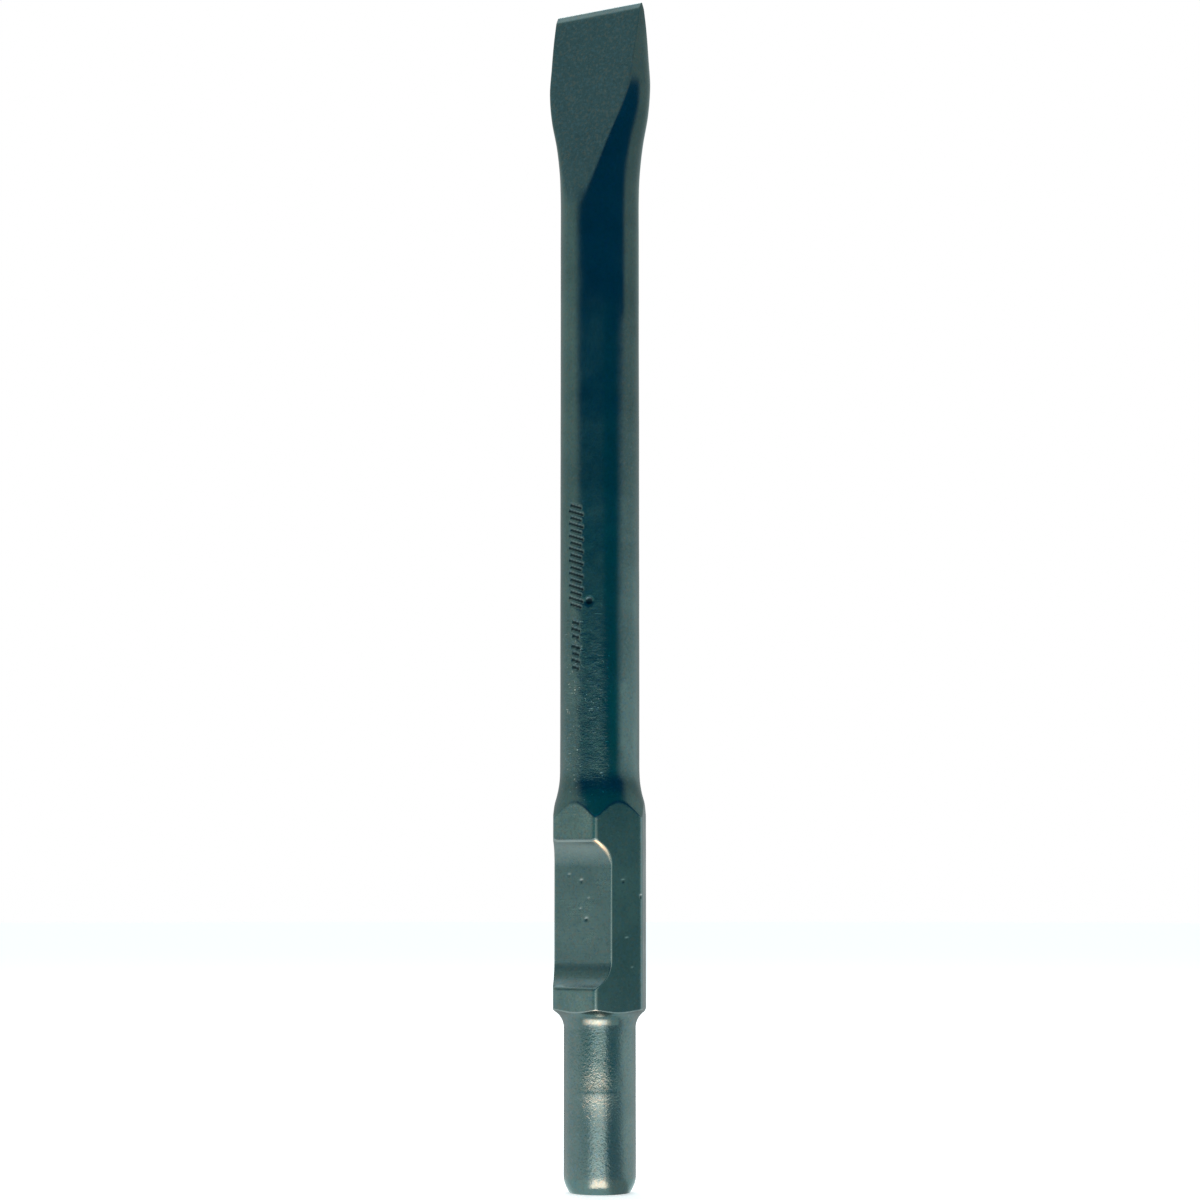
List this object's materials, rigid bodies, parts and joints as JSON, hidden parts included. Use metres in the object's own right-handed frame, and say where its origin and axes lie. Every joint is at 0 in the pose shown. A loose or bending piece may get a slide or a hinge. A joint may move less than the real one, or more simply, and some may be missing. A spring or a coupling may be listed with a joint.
{
  "type": "flat chisel",
  "caption": "Flat chisel bit for an electric breaker hammer: round shaft, hexagon shank with a retention notch, turned spigot and flared wedge blade.",
  "frame": {"origin": "centre of the striking face at the spigot's free end", "axes": "+Z along the tool's axis from the striking face to the cutting edge, X along the cutting edge, -Y out of the notched flat"},
  "size_m": [0.0374, 0.03, 0.4],
  "materials": {
    "forged_steel": "satin dark forged and ground steel, lightly oiled"
  },
  "bodies": {
    "root": {"flat_chisel": "forged_steel"}
  },
  "joints": []
}
